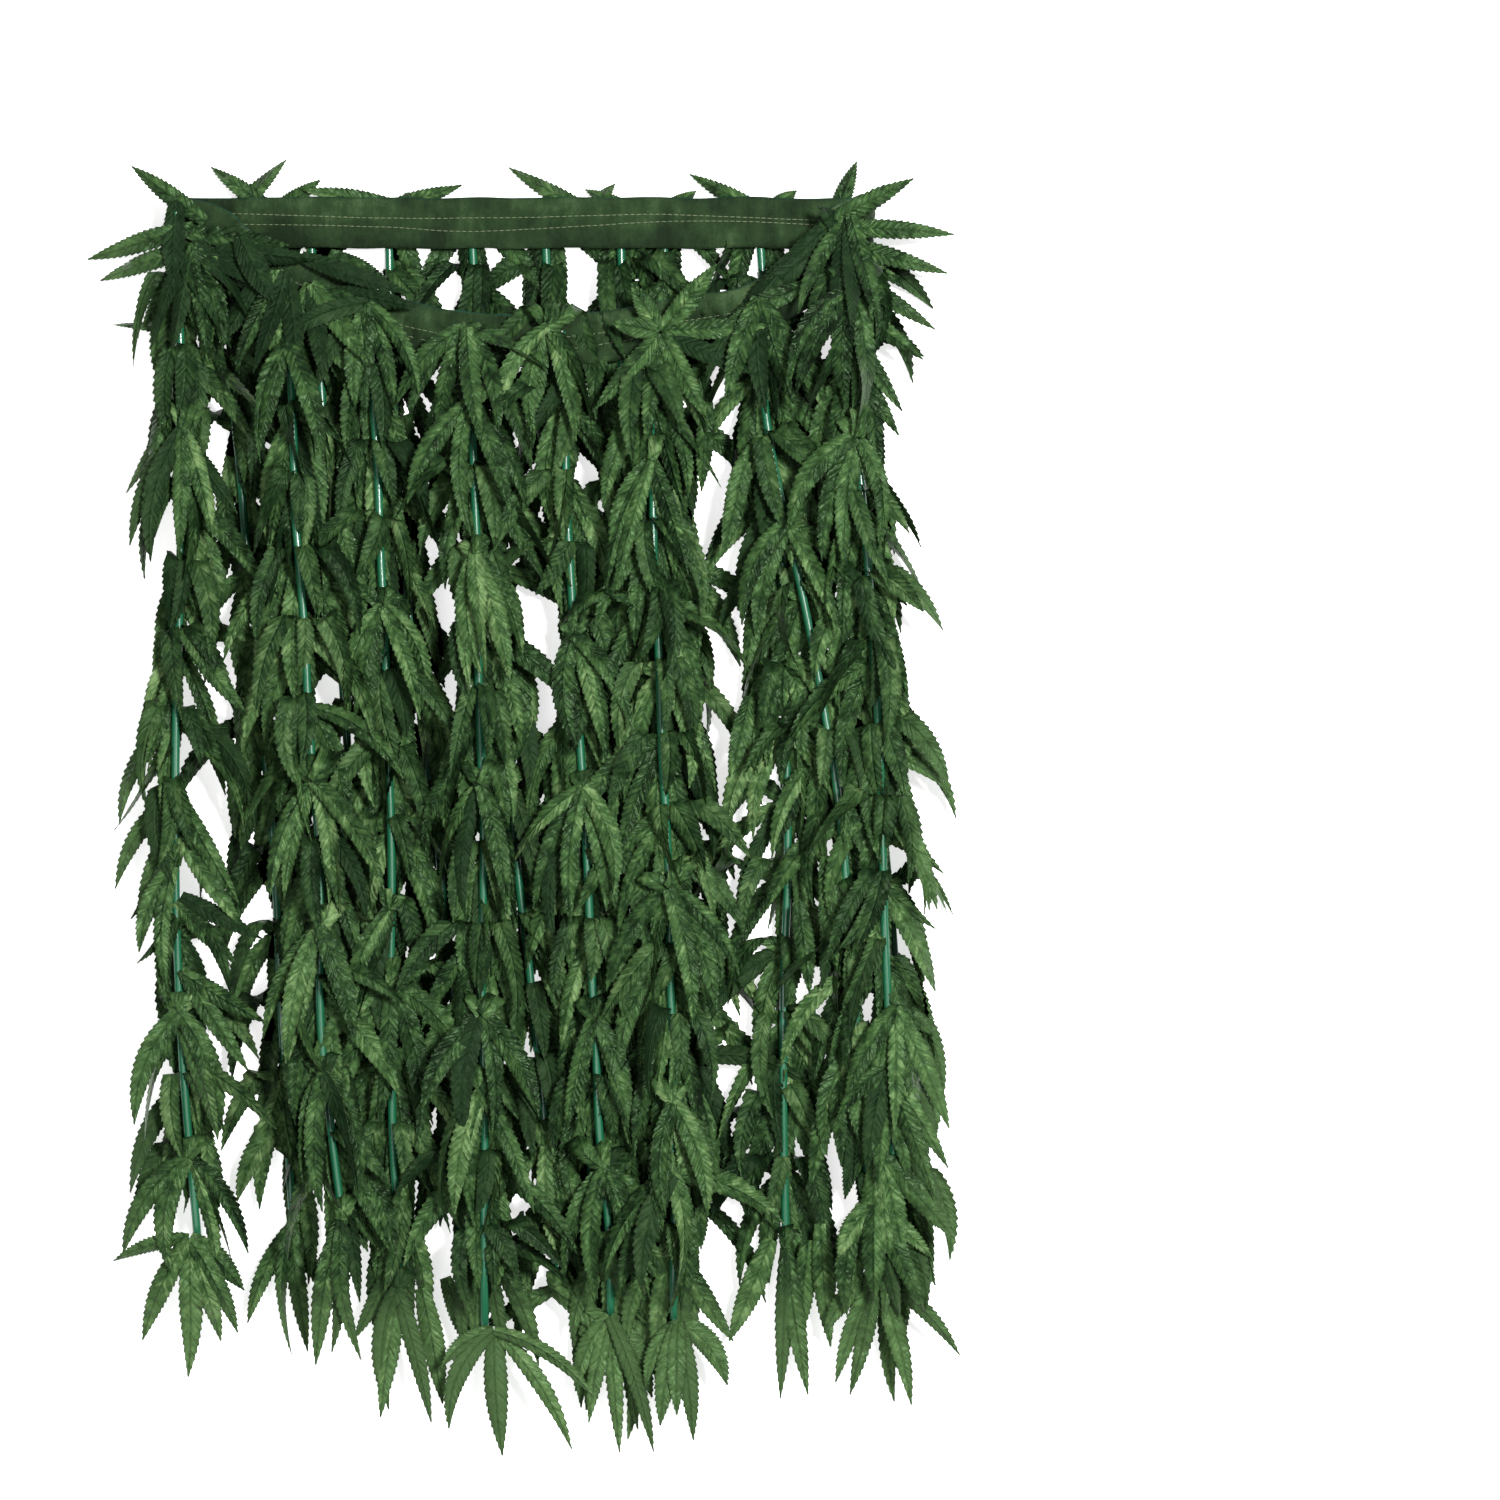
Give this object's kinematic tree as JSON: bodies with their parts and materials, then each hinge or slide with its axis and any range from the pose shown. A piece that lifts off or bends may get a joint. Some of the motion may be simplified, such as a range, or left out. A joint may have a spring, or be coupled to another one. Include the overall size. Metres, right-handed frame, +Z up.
{
  "type": "artificial leaf costume skirt",
  "caption": "Costume skirt laid flat: garlands of green satin leaf sprays on plastic stems, hanging in two layers from a cloth waistband whose front half sags below its back half.",
  "frame": {"origin": "On the surface that the skirt lies on, under the middle of its bounding box.", "axes": "+Z up from the surface, +Y from the hem to the waist, +X to the right seen from above."},
  "size_m": [0.413, 0.6248, 0.0373],
  "materials": {
    "leaf_satin": "embossed polyester satin, crisp, soft sheen",
    "stem_plastic": "glossy",
    "band_cloth": "plain weave, matt, lightly puckered",
    "band_thread": "sewing thread"
  },
  "bodies": {
    "root": {"waistband_back": "band_cloth", "waistband_front": "band_cloth", "garland_back_1": "leaf_satin", "garland_back_2": "leaf_satin", "garland_back_3": "leaf_satin", "garland_back_4": "leaf_satin", "garland_back_5": "leaf_satin", "garland_back_6": "leaf_satin", "garland_back_7": "leaf_satin", "garland_back_8": "leaf_satin", "garland_back_9": "leaf_satin", "garland_front_1": "leaf_satin", "garland_front_2": "leaf_satin", "garland_front_3": "leaf_satin", "garland_front_4": "leaf_satin", "garland_front_5": "leaf_satin", "garland_front_6": "leaf_satin", "garland_front_7": "leaf_satin", "garland_front_8": "leaf_satin"}
  },
  "joints": []
}
